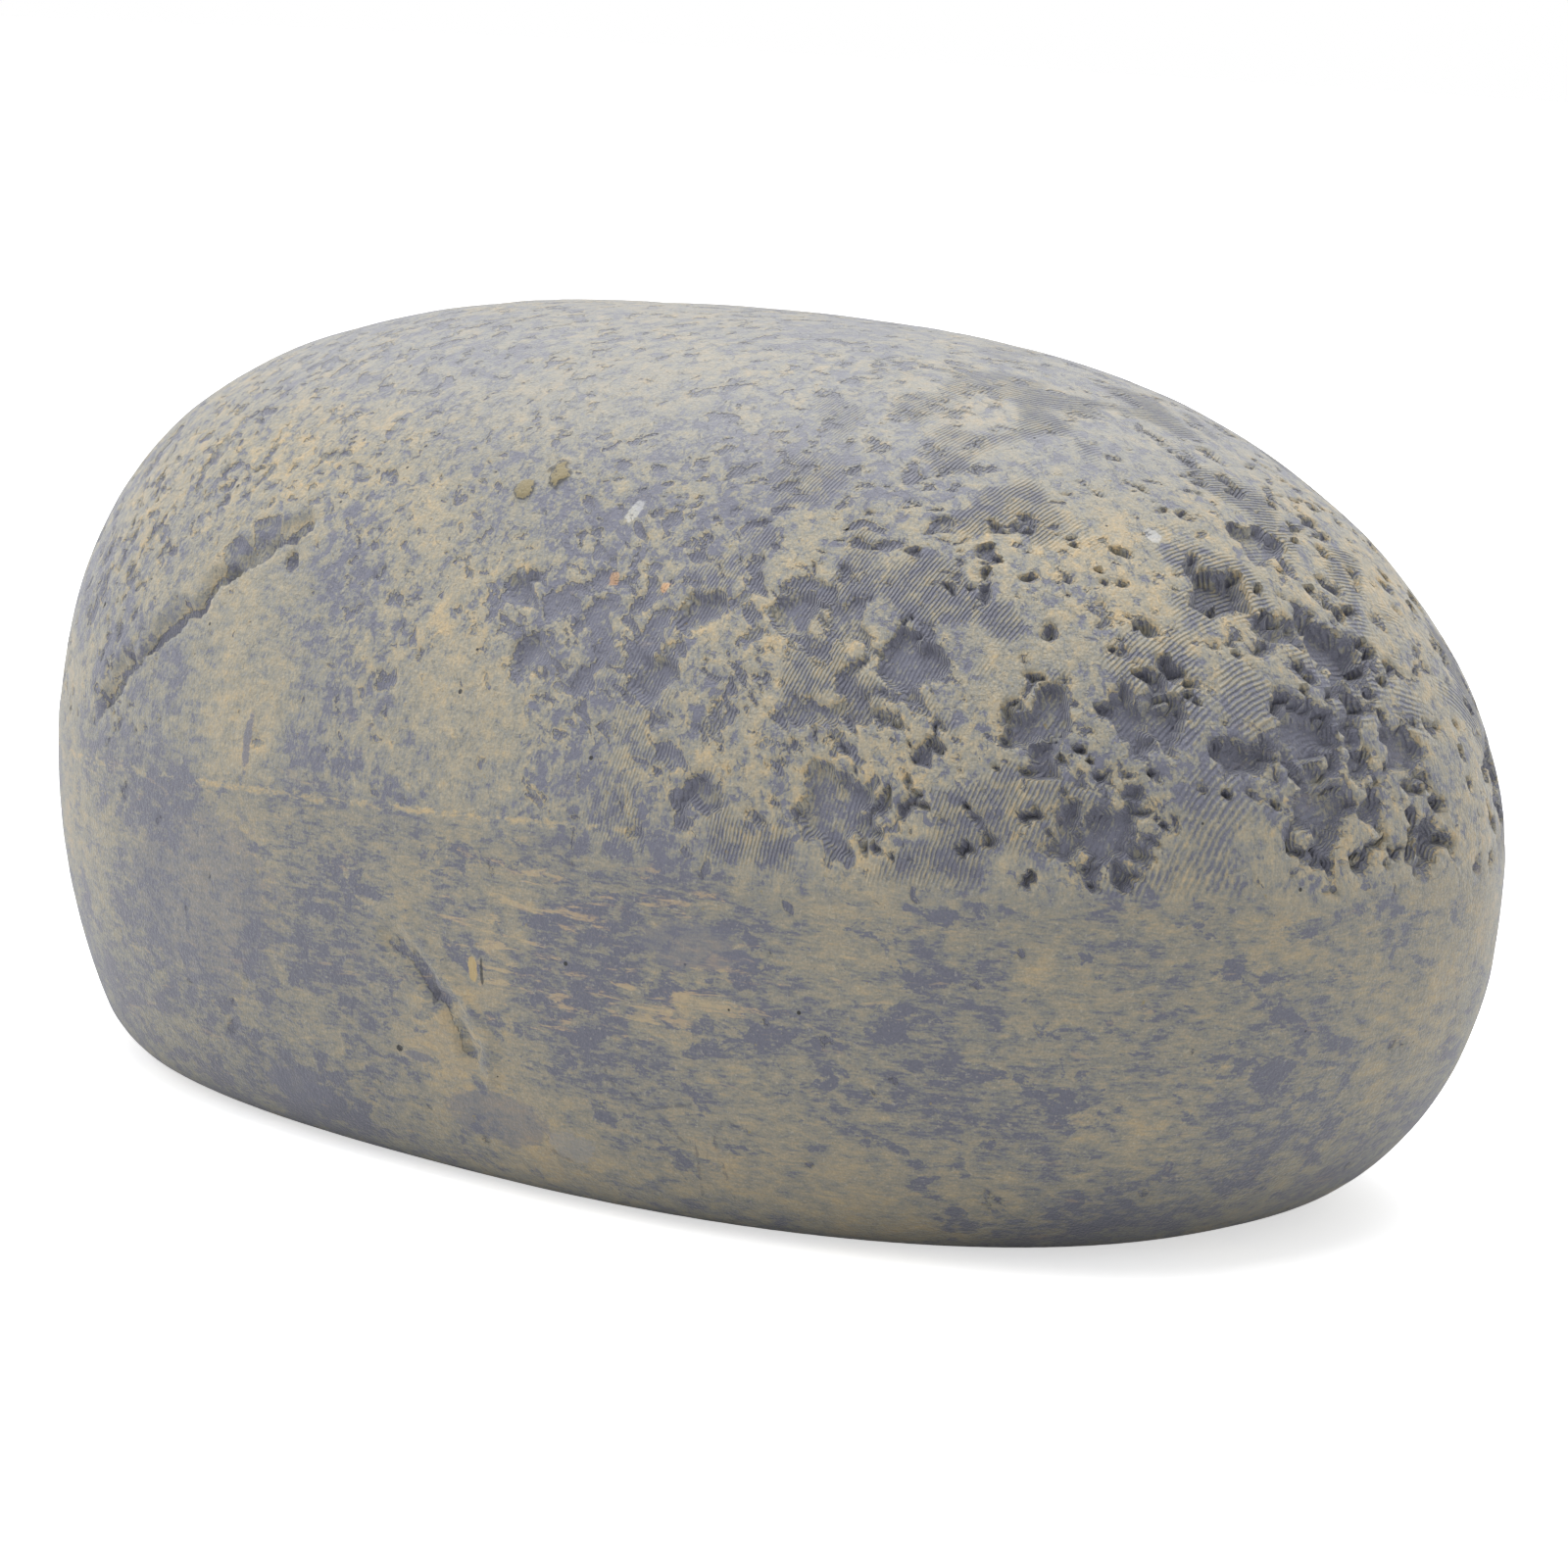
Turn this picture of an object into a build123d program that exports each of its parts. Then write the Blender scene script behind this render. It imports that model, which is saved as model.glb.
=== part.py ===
from build123d import *
import math
import os

# A garden stone that hides a spare house key: a cast resin pebble with a moulded key tray let into
# its flat underside, and a door that slides out of the stone's rear end under a screwed bezel.
# Units are millimetres. X runs along the stone, towards its tapered nose. Y runs across it.
# Z is up, and Z = 0 is the base. The origin is the middle of the stone's outline seen from above.

# ---------------------------------------------------------------- stone: driving sizes
stone_length = 101.0
stone_width = 64.0
stone_height = 50.5
parting_height = 22.0        # the mould's parting line, where the stone is widest
rear_base_reach = 45.2       # from the origin to the rear end of the base, edge not yet worn
nose_base_reach = 40.0       # from the origin to the nose end of the base
base_half_width = 27.3
base_edge_round = 3.0        # the worn edge round the base
outline_power = 2.35         # superellipse exponent of every horizontal section
rear_belly_power = 2.3       # how sharply the belly turns in to the base at the rear,
nose_belly_power = 2.9       # at the nose,
side_belly_power = 2.5       # and along the sides
rear_crown_power = 2.8       # how square the crown's profile is at the rear,
nose_crown_power = 1.85      # at the nose,
side_crown_power = 1.65      # and along the sides
rear_crown_root = 2.75       # the root that closes the crown's profile at the rear,
nose_crown_root = 2.6        # at the nose,
side_crown_root = 2.5        # and along the sides
outline_points = 20          # points on each horizontal section
seam_bearing = 144.0         # degrees round from the nose where each section starts and ends
worn_turns = (0, 30, 60, 90)                     # degrees round the worn edge, one section each
belly_shares = (0.32, 0.55, 0.77)                # heights of the belly's sections, of the parting height
crown_turns = (6, 16, 30, 44, 57, 69, 80)        # degrees up the crown, one section each

# ---------------------------------------------------------------- stone: pits
# The main pits of the crown: height, bearing in degrees round from the nose, radius and depth.
near_pits = (
    (38.3, -13.4, 2.0, 0.9),
    (36.1, -8.8, 1.1, 0.6),
    (35.2, -1.0, 2.2, 0.9),
    (31.0, -9.0, 1.9, 0.8),
    (26.6, -9.4, 1.9, 0.7),
    (29.8, -17.0, 1.7, 0.6),
    (40.8, -1.8, 1.9, 0.5),
    (31.4, -37.2, 2.1, 0.6),
    (32.2, -26.6, 1.9, 0.6),
    (25.6, -32.0, 2.6, 0.5),
    (24.6, 3.0, 1.8, 0.7),
    (29.4, 2.0, 1.4, 0.6),
    (33.6, -49.6, 2.1, 0.5),
    (25.8, -55.6, 2.3, 0.5),
    (36.0, -59.8, 1.4, 0.5),
    (35.5, -68.0, 1.4, 0.5),
    (31.8, -71.0, 1.6, 0.5),
    (25.6, -66.0, 1.4, 0.5),
    (35.5, -83.4, 1.5, 0.5),
    (32.0, -82.0, 1.2, 0.5),
)
# The far side and rear end carry rows of pits: height, first bearing, pitch in degrees and count.
far_rows = (
    (27.0, 22.0, 24.0, 5),
    (34.0, 34.0, 26.0, 4),
)
far_pit_radius = 2.0
far_pit_depth = 0.6
pit_sides = 5
pit_wall_lean = 30.0         # degrees that a pit's walls flare
pit_turn = 77.0              # degrees by which each pit is turned from the one before

# ---------------------------------------------------------------- compartment: driving sizes
key_length = 57.0            # the house key that the tray takes
key_width = 25.0
key_play_long = 1.5
key_play_wide = 1.4
cavity_depth = 13.0
cavity_corner = 4.0
cavity_nose_x = 27.9
cavity_roof_chamfer = 1.5
draft = 1.5                  # degrees, on the tray's walls
tray_wall = 1.4
flange_thickness = 1.5
flange_rear_land = 1.9       # from the cavity's rear wall to the flange's rear edge
flange_rear_round = 1.5
bezel_reveal = 0.4           # the bezel lies this far above the base plane
lip_thickness = 1.0
lip_cover = 1.2              # the lip's hold on the door's edge
rail_width = 1.8
door_thickness = 1.5
door_overlap = 1.4           # the door's cover past the cavity, at the sides and nose
door_rear_x = -41.5
door_rear_round = 5.0
door_play = 0.15             # above and below the door
slide_clearance = 0.2        # each side of the door
lug_length = 1.4             # along X, the lug that stops the door
lug_width = 8.0
lug_height = 1.5
lug_setback = 0.8            # from the cavity's nose wall to the lug, door closed
stop_clearance = 0.3
grip_bars = 5
grip_bar_width = 1.2
grip_bar_length = 14.0
grip_bar_height = 0.7
grip_pitch = 2.4
grip_rear_setback = 4.0      # from the door's rear edge to the first bar
grip_chamfer = 0.3
casting_clearance = 0.25     # round the flange and bezel in their recess
pocket_clearance = 0.3       # round the tray in its pocket

# ---------------------------------------------------------------- screws: driving sizes
screw_xs = (-19.0, 17.0)
screw_y = 17.5
ear_radius = 3.0
ear_blend = 1.2
head_radius = 2.1
head_seat = 0.1              # the head lies this far inside the bezel's face
head_clearance = 0.05
shank_radius = 1.1
shank_length = 9.0           # from the head's cone to the start of the point
point_length = 1.4
point_radius = 0.3
clearance_hole_radius = 1.3
pilot_radius = 1.0
pilot_spare = 0.6            # the pilot hole's depth past the screw's tip
driver_slot_length = 2.2
driver_slot_width = 0.55
driver_slot_depth = 0.7

# ---------------------------------------------------------------- worked-out sizes
cavity_length = key_length + key_play_long
cavity_width = key_width + key_play_wide
cavity_rear_x = cavity_nose_x - cavity_length
flange_rear_x = cavity_rear_x - flange_rear_land
bezel_bottom = bezel_reveal
lip_top = bezel_bottom + lip_thickness
door_bottom = lip_top + door_play
door_top = door_bottom + door_thickness
rail_top = door_top + door_play
flange_top = rail_top + flange_thickness
slot_grow = door_overlap + slide_clearance
rail_grow = slot_grow + rail_width
mouth_grow = door_overlap - lip_cover
lug_nose_x = cavity_nose_x - lug_setback
lug_rear_x = lug_nose_x - lug_length
door_travel = lug_rear_x - cavity_rear_x - stop_clearance
head_face = bezel_bottom + head_seat
head_height = head_radius - shank_radius
screw_tip = head_face + head_height + shank_length + point_length
past_stone = stone_length    # a cut that runs out of the stone reaches this far


# ---------------------------------------------------------------- stone
def turned(value, power):
    """value raised to power with its sign kept."""
    return math.copysign(abs(value) ** power, value)


def belly_reach(widest, base, depth_share, power):
    """Reach of the belly between the parting line (share 0) and the base (share 1)."""
    return widest - (widest - base) * depth_share**power


def crown_reach(widest, rise_share, power, root):
    """Reach of the crown between the parting line (share 0) and the top (share 1)."""
    return widest * (1 - rise_share**power) ** (1 / root)


def worn_inset(z):
    """How far the worn base edge draws the outline in at height z."""
    if z >= base_edge_round:
        return 0.0
    return base_edge_round - math.sqrt(base_edge_round**2 - (base_edge_round - z) ** 2)


def stone_reaches(z):
    """Rear reach, nose reach and half width of the stone at height z."""
    half_length, half_width = stone_length / 2, stone_width / 2
    if z > parting_height:
        rise = (z - parting_height) / (stone_height - parting_height)
        rear = crown_reach(half_length, rise, rear_crown_power, rear_crown_root)
        nose = crown_reach(half_length, rise, nose_crown_power, nose_crown_root)
        side = crown_reach(half_width, rise, side_crown_power, side_crown_root)
        return rear, nose, side
    depth = (parting_height - z) / parting_height
    rear = belly_reach(half_length, rear_base_reach, depth, rear_belly_power)
    nose = belly_reach(half_length, nose_base_reach, depth, nose_belly_power)
    side = belly_reach(half_width, base_half_width, depth, side_belly_power)
    inset = worn_inset(z)
    return rear - inset, nose - inset, side - inset


def stone_point(z, bearing):
    """Point on the stone's skin at height z and a bearing in degrees round from the nose."""
    rear, nose, side = stone_reaches(z)
    c, s = math.cos(math.radians(bearing)), math.sin(math.radians(bearing))
    reach = nose if c >= 0 else rear
    return Vector(reach * turned(c, 2 / outline_power), side * turned(s, 2 / outline_power), z)


def stone_normal(z, bearing):
    """Outward normal of the stone's skin, from four neighbouring points."""
    step = 0.5
    along = stone_point(z, bearing + step) - stone_point(z, bearing - step)
    upward = stone_point(z + step, bearing) - stone_point(z - step, bearing)
    return along.cross(upward).normalized()


def stone_section(z):
    """The stone's horizontal section at height z, as a face."""
    step = 360 / outline_points
    points = [stone_point(z, seam_bearing + step * i) for i in range(outline_points)]
    return make_face(Spline(points, periodic=True))


def stone_blank():
    """The pebble: a worn edge round the flat base, the belly, and the crown above the parting line."""
    worn_levels = [base_edge_round * (1 - math.cos(math.radians(turn))) for turn in worn_turns]
    worn_edge = loft([stone_section(z) for z in worn_levels], ruled=True)
    belly_levels = [parting_height * share for share in belly_shares]
    belly = loft([stone_section(z) for z in (base_edge_round, *belly_levels, parting_height)])
    rise = stone_height - parting_height
    crown_levels = [parting_height + rise * math.sin(math.radians(turn)) for turn in (0, *crown_turns)]
    crown = loft([stone_section(z) for z in crown_levels] + [Vertex(0, 0, stone_height)])
    return worn_edge + belly + crown


def far_pits():
    """The rows of pits on the far side and rear end, as height, bearing, radius and depth."""
    rows = []
    for height, first_bearing, pitch, count in far_rows:
        rows += [(height, first_bearing + pitch * i, far_pit_radius, far_pit_depth) for i in range(count)]
    return rows


def pit_cutter(z, bearing, radius, depth, turn):
    """A flat-floored, flared prism that leaves a pit of this radius and depth in the skin."""
    normal = stone_normal(z, bearing)
    at_floor = Plane(stone_point(z, bearing) - normal * depth, z_dir=normal).rotated((0, 0, turn))
    floor = at_floor * RegularPolygon(radius - depth * math.tan(math.radians(pit_wall_lean)), pit_sides)
    return extrude(floor, 2 * depth, taper=-pit_wall_lean)


def stone_casting():
    """The casting: pebble, pits, tray pocket, flange recess, door channel and pilot holes."""
    casting = stone_blank()
    for i, pit in enumerate((*near_pits, *far_pits())):
        casting -= pit_cutter(*pit, turn=pit_turn * i)
    recess = extrude(mounting_outline(casting_clearance), flange_top)
    pocket = bucket(tray_wall + pocket_clearance, rail_top, pocket_roof())
    channel_length = past_stone + flange_rear_x
    channel = Pos(flange_rear_x - channel_length / 2, 0, rail_top / 2) * Box(
        channel_length, cavity_width + 2 * slot_grow, rail_top
    )
    casting -= [recess, pocket, channel]
    pilot = Cylinder(pilot_radius, screw_tip + pilot_spare, align=(Align.CENTER, Align.CENTER, Align.MIN))
    return casting - [Pos(x, y, 0) * pilot for x, y in screw_places()]


# ---------------------------------------------------------------- outlines that the pieces share
def plan(grow, rear_x, rear_round):
    """The cavity's outline grown at its sides and nose, with its rear edge at rear_x."""
    nose_x = cavity_nose_x + grow
    outline = Pos((nose_x + rear_x) / 2, 0) * Rectangle(nose_x - rear_x, cavity_width + 2 * grow)
    outline = fillet(outline.vertices().group_by(Axis.X)[-1], cavity_corner + grow)
    if rear_round:
        outline = fillet(outline.vertices().group_by(Axis.X)[0], rear_round)
    return outline


def screw_places():
    """Places of the four screws, seen from above."""
    return [(x, y) for x in screw_xs for y in (-screw_y, screw_y)]


def mounting_outline(grow):
    """The flange's and bezel's common outline with its four screw ears, grown by grow."""
    edge = cavity_width / 2 + rail_grow + grow
    outline = plan(rail_grow + grow, flange_rear_x - grow, flange_rear_round)
    for x, y in screw_places():
        outline += Pos(x, y) * Circle(ear_radius + grow)
    inner = [v for v in outline.vertices() if abs(abs(v.Y) - edge) < 0.01 and is_by_ear(v.X, grow)]
    return fillet(inner, ear_blend)


def is_by_ear(x, grow):
    """Whether x lies within an ear's reach along the rail."""
    return any(abs(x - screw_x) < ear_radius + grow for screw_x in screw_xs)


def bucket(grow, floor_z, roof_z):
    """A drafted block of the cavity's outline grown by grow, open side at floor_z."""
    outline = plan(grow, cavity_rear_x - grow, cavity_corner + grow)
    block = extrude(Pos(0, 0, floor_z) * outline, roof_z - floor_z, taper=draft)
    return chamfer(block.edges().group_by(Axis.Z)[-1], cavity_roof_chamfer)


def cavity_roof():
    """Height of the tray's roof, inside."""
    return rail_top + cavity_depth


def pocket_roof():
    """Height of the casting's pocket."""
    return cavity_roof() + tray_wall + pocket_clearance


# ---------------------------------------------------------------- compartment pieces
def key_tray():
    """The moulded tray: an upturned bucket for the key with a flange that seats in the casting."""
    flange = Pos(0, 0, rail_top) * extrude(mounting_outline(0), flange_thickness)
    tray = flange + bucket(tray_wall, rail_top, cavity_roof() + tray_wall)
    tray -= bucket(0, rail_top, cavity_roof())
    hole = Pos(0, 0, rail_top) * Cylinder(clearance_hole_radius, 4 * flange_thickness)
    return tray - [Pos(x, y, 0) * hole for x, y in screw_places()]


def door_bezel():
    """The U-shaped bezel: rails beside the door and lips under its edges, open at the rear."""
    bezel = Pos(0, 0, bezel_bottom) * extrude(mounting_outline(0), rail_top - bezel_bottom)
    slot = extrude(Pos(0, 0, lip_top) * plan(slot_grow, -past_stone, 0), rail_top - lip_top)
    mouth = extrude(plan(mouth_grow, -past_stone, 0), lip_top)
    bezel -= [slot, mouth]
    sink_radius = head_radius + head_clearance
    sink_depth = sink_radius - clearance_hole_radius
    at_bottom = (Align.CENTER, Align.CENTER, Align.MIN)
    well = Cylinder(sink_radius, head_face, align=at_bottom)
    well += Pos(0, 0, head_face) * Cone(sink_radius, clearance_hole_radius, sink_depth, align=at_bottom)
    well += Cylinder(clearance_hole_radius, flange_top, align=at_bottom)
    return bezel - [Pos(x, y, 0) * well for x, y in screw_places()]


def sliding_door():
    """The door: a plate with grip bars outside and the lug that stops its travel inside."""
    door = extrude(Pos(0, 0, door_bottom) * plan(door_overlap, door_rear_x, door_rear_round), door_thickness)
    lug = Box(lug_length, lug_width, lug_height, align=(Align.MIN, Align.CENTER, Align.MIN))
    door += Pos(lug_rear_x, 0, door_top) * lug
    bar = Box(grip_bar_width, grip_bar_length, grip_bar_height, align=(Align.MIN, Align.CENTER, Align.MAX))
    bar = chamfer(bar.edges().group_by(Axis.Z)[0], grip_chamfer)
    first_bar_x = door_rear_x + grip_rear_setback
    for i in range(grip_bars):
        door += Pos(first_bar_x + i * grip_pitch, 0, door_bottom) * bar
    return door


def tray_screw():
    """A countersunk self-tapping screw with a cross recess, head down, on the Z axis."""
    at_bottom = (Align.CENTER, Align.CENTER, Align.MIN)
    screw = Pos(0, 0, head_face) * Cone(head_radius, shank_radius, head_height, align=at_bottom)
    shank_start = head_face + head_height
    screw += Pos(0, 0, shank_start) * Cylinder(shank_radius, shank_length, align=at_bottom)
    point = Cone(shank_radius, point_radius, point_length, align=at_bottom)
    screw += Pos(0, 0, shank_start + shank_length) * point
    slot = Box(driver_slot_length, driver_slot_width, driver_slot_depth, align=at_bottom)
    return screw - [Pos(0, 0, head_face) * slot, Pos(0, 0, head_face) * Rot(0, 0, 90) * slot]


def tray_screws():
    """The four screws as a group of separate solids."""
    return Compound([Pos(x, y, 0) * tray_screw() for x, y in screw_places()])


# ---------------------------------------------------------------- output
os.makedirs("parts", exist_ok=True)
nodes = {
    "stone_casting": stone_casting(),
    "key_tray": key_tray(),
    "door_bezel": door_bezel(),
    "sliding_door": sliding_door(),
    "tray_screws": tray_screws(),
}
for name, shape in nodes.items():
    export_step(shape, f"parts/{name}.step")
print("door travel", round(door_travel, 3))
print("cavity from", round(cavity_rear_x, 3), "to", cavity_nose_x, "roof at", cavity_roof())
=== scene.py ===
import math
import bmesh
import bpy
import numpy as np
from mathutils import Matrix, Vector, noise


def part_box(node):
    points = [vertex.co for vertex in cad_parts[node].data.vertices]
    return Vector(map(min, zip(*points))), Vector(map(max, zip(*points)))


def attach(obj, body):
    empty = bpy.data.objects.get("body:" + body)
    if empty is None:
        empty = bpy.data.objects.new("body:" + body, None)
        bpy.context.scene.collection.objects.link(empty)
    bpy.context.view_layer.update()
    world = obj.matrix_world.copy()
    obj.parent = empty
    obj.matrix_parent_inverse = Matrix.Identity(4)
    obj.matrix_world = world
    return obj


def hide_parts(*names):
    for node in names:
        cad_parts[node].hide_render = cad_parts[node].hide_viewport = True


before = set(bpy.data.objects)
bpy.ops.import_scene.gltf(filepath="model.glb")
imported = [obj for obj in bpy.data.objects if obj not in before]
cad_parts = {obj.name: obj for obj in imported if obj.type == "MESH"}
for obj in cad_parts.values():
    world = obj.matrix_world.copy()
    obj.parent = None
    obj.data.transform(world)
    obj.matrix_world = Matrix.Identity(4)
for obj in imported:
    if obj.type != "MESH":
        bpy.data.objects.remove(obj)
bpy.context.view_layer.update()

# ------------------------------------------------------------------ stone casting: the pebble
# The stone is one polyresin casting, filled with stone powder and cast base up in a rubber mould.
# Its skin is a pebble, widest at the mould's parting line, over a flat base with a worn edge.
# Lengths in the stone's own sections are in millimetres, and the mesh is scaled to metres at the end.
METRE = 1000.0
stone_low, stone_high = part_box("stone_casting")
half_length = (stone_high.x - stone_low.x) * METRE / 2
half_width = (stone_high.y - stone_low.y) * METRE / 2
stone_height = stone_high.z * METRE
skin_allowance = 0.06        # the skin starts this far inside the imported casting
parting_height = 22.0
rear_base_reach = 45.2
nose_base_reach = 40.0
base_half_width = 27.3
base_edge_round = 3.0
outline_power = 2.35
rear_belly_power, nose_belly_power, side_belly_power = 2.3, 2.9, 2.5
rear_crown_power, nose_crown_power, side_crown_power = 2.8, 1.85, 1.65
rear_crown_root, nose_crown_root, side_crown_root = 2.75, 2.6, 2.5
skin_cells = (128, 80, 64)    # cells of the skin along, across and up the stone


def smooth_step(low, high, value):
    """0 below low, 1 above high and a smooth rise between them."""
    t = np.clip((value - low) / (high - low), 0, 1)
    return t * t * (3 - 2 * t)


def stone_reaches(z):
    """Rear reach, nose reach and half width of the stone at each height z."""
    depth = np.clip((parting_height - z) / parting_height, 0, 1)
    rise = np.clip((z - parting_height) / (stone_height - parting_height), 0, 1)
    worn = np.clip(base_edge_round - z, 0, base_edge_round)
    inset = base_edge_round - np.sqrt(base_edge_round**2 - worn**2)
    profiles = (
        (half_length, rear_base_reach, rear_belly_power, rear_crown_power, rear_crown_root),
        (half_length, nose_base_reach, nose_belly_power, nose_crown_power, nose_crown_root),
        (half_width, base_half_width, side_belly_power, side_crown_power, side_crown_root),
    )
    reaches = []
    for widest, base, belly_power, crown_power, crown_root in profiles:
        belly = widest - (widest - base) * depth**belly_power - inset
        crown = widest * (1 - rise**crown_power) ** (1 / crown_root)
        reaches.append(np.where(z > parting_height, crown, belly) - skin_allowance)
    return [np.maximum(reach, 1e-4) for reach in reaches]


def is_inside(points):
    """Whether each point lies inside the pebble."""
    x, y, z = points.T
    rear, nose, side = stone_reaches(z)
    spread = (abs(x) / np.where(x >= 0, nose, rear)) ** outline_power + (abs(y) / side) ** outline_power
    return (spread < 1) & (z > 0) & (z < stone_height - skin_allowance)


def cast_to_skin(rays):
    """The point where each ray from the stone's middle meets the pebble's skin, by halving."""
    middle = np.array((0.0, 0.0, parting_height))
    rays = rays / np.linalg.norm(rays, axis=1)[:, None]
    near, far = np.zeros(len(rays)), np.full(len(rays), 2 * half_length)
    for _ in range(26):
        half = (near + far) / 2
        inside = is_inside(middle + rays * half[:, None])
        near, far = np.where(inside, half, near), np.where(inside, far, half)
    return middle + rays * near[:, None]


def pebble_mesh(name, cells):
    """A closed pebble: a cube cut into cells, finer on the near side, moved out to the skin."""
    bm = bmesh.new()
    bmesh.ops.create_cube(bm, size=2.0)
    for axis, count in enumerate(cells):
        along = [e for e in bm.edges if abs((e.verts[0].co - e.verts[1].co)[axis]) > 1e-4]
        bmesh.ops.subdivide_edges(bm, edges=along, cuts=count - 1, use_grid_fill=True)
    near = [f for f in bm.faces if is_near(f)]
    bmesh.ops.subdivide_edges(bm, edges=list({e for f in near for e in f.edges}), cuts=1, use_grid_fill=True)
    rays = np.array([v.co for v in bm.verts]) * (half_length, half_width, stone_height / 2)
    for vert, point in zip(bm.verts, cast_to_skin(rays)):
        vert.co = point
    flat = [f for f in bm.faces if max(v.co.z for v in f.verts) < 1e-3]
    bmesh.ops.dissolve_faces(bm, faces=flat)
    mesh = bpy.data.meshes.new(name)
    bm.to_mesh(mesh)
    bm.free()
    return mesh


def is_near(face):
    """Whether a face of the cube lies on the side and end of the stone that are seen closest."""
    middle = face.calc_center_median()
    return middle.z > -0.99 and 0.75 * middle.x - 0.75 * middle.y + 0.3 * middle.z > 0.25


def read_points(mesh):
    """A mesh's corners as an array."""
    flat = np.zeros(len(mesh.vertices) * 3)
    mesh.vertices.foreach_get("co", flat)
    return flat.reshape(-1, 3)


def write_points(mesh, points):
    """Moves a mesh's corners to the given points."""
    mesh.vertices.foreach_set("co", points.ravel())
    mesh.update()


def read_normals(mesh):
    """The outward normal at each corner of a mesh."""
    flat = np.zeros(len(mesh.vertices) * 3)
    mesh.vertex_normals.foreach_get("vector", flat)
    return flat.reshape(-1, 3)


def write_mask(mesh, name, values):
    """Stores one number per corner under a name, which the paint reads."""
    mask = mesh.attributes.new(name, "FLOAT", "POINT")
    mask.data.foreach_set("value", values.astype(np.float32))


pebble = pebble_mesh("stone_casting_skin", skin_cells)
skin = read_points(pebble)
skin_normals = read_normals(pebble)

# ------------------------------------------------------------------ stone casting: pits and cracks
# The master was printed in layers across its length, and its pits keep those layers as fine combed
# lines. The pits are angular and flat floored, deepest at the nose, and end at the parting line.
# The main pits of the crown are height, bearing in degrees round from the nose, radius and depth.
near_pits = (
    (38.3, -13.4, 2.0, 0.9),
    (36.1, -8.8, 1.1, 0.6),
    (35.2, -1.0, 2.2, 0.9),
    (31.0, -9.0, 1.9, 0.8),
    (26.6, -9.4, 1.9, 0.7),
    (29.8, -17.0, 1.7, 0.6),
    (40.8, -1.8, 1.9, 0.5),
    (31.4, -37.2, 2.1, 0.6),
    (32.2, -26.6, 1.9, 0.6),
    (25.6, -32.0, 2.6, 0.5),
    (24.6, 3.0, 1.8, 0.7),
    (29.4, 2.0, 1.4, 0.6),
    (33.6, -49.6, 2.1, 0.5),
    (25.8, -55.6, 2.3, 0.5),
    (36.0, -59.8, 1.4, 0.5),
    (35.5, -68.0, 1.4, 0.5),
    (31.8, -71.0, 1.6, 0.5),
    (25.6, -66.0, 1.4, 0.5),
    (35.5, -83.4, 1.5, 0.5),
    (32.0, -82.0, 1.2, 0.5),
)
# The far side and rear end carry rows of pits: height, first bearing, pitch in degrees and count.
far_rows = (
    (27.0, 22.0, 24.0, 5),
    (34.0, 34.0, 26.0, 4),
)
far_pit_radius = 2.0
far_pit_depth = 0.6
# Shallow pools lie along the crack's upper end.
pools = (
    (34.7, -108.4, 1.3, 0.3),
    (36.1, -106.4, 1.5, 0.3),
    (33.4, -108.4, 0.7, 0.6),
    (34.8, -101.9, 0.6, 0.5),
)
# Between them the pits are left to noise, and these patches hold fewer or more of them: the patch's
# height, bearing and radius, and how much it takes from the pits.
patches = (
    (27.5, -104.0, 13.0, 0.55),
    (26.0, -86.0, 8.0, 0.45),
    (43.0, -88.0, 13.0, 0.22),
    (34.5, -38.0, 5.0, 0.35),
    (33.6, -14.0, 2.8, 0.5),
    (24.0, -20.0, 5.0, 0.4),
    (44.0, -20.0, 7.0, 0.2),
    (33.5, -77.0, 7.0, -0.3),
    (33.0, -60.0, 8.0, -0.28),
    (27.5, -54.0, 6.0, -0.25),
    (33.0, -4.0, 9.0, -0.3),
    (27.0, -4.0, 8.0, -0.25),
    (33.0, -126.0, 9.0, -0.15),
)
pit_size = 1.5               # a usual pit, across
small_pit_size = 0.8
pit_depth = 0.2
nose_pit_extra = 0.6         # how much deeper the pits are at the nose
small_pit_depth = 0.12
swell_size = 15.0            # the slow rise and fall of the whole skin
swell_depth = 0.25
ripple_size = 4.5
ripple_depth = 0.1
# Each route is a list of places along it, as height and bearing.
crack_places = ((36.2, -102.6), (34.7, -105.4), (33.0, -108.2), (30.8, -110.2), (28.8, -113.8),
                (26.2, -117.6), (24.0, -121.0))
crack_depth = 0.85
trough_places = ((14.7, -89.0), (13.0, -87.2), (10.5, -84.8), (8.6, -83.6))
trough_depth = 0.5
ridge_height = 0.3
fissures = (
    ((8.1, -70.4), (7.3, -69.1), (7.9, -65.6)),
    ((7.0, -61.0), (7.3, -62.6), (6.0, -63.0), (2.6, -60.4)),
    ((9.4, -72.8), (8.4, -71.8)),
    ((7.3, -73.4), (6.2, -71.8), (4.8, -69.2)),
    ((4.1, -77.6), (3.4, -77.2), (3.0, -75.2)),
    ((5.2, -64.4), (2.4, -63.2)),
    ((6.2, -67.0), (5.7, -65.8)),
    ((16.5, 9.0), (13.0, 12.0), (8.8, 11.0)),
)
crumbs = ((41.7, -84.6, 1.15), (40.6, -86.8, 0.8))
crown_step = 0.1             # how far the crown stands back from the belly at the parting line


def skin_point(height, bearing):
    """The point of the pebble's skin at a height and a bearing in degrees round from the nose."""
    rear, nose, side = (float(reach) for reach in stone_reaches(np.array(height)))
    c, s = math.cos(math.radians(bearing)), math.sin(math.radians(bearing))
    power = 2 / outline_power
    x = math.copysign(abs(c) ** power, c) * (nose if c >= 0 else rear)
    return np.array((x, math.copysign(abs(s) ** power, s) * side, height))


def route_of(places):
    """The points of the skin at a list of places."""
    return [skin_point(*place) for place in places]


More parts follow.
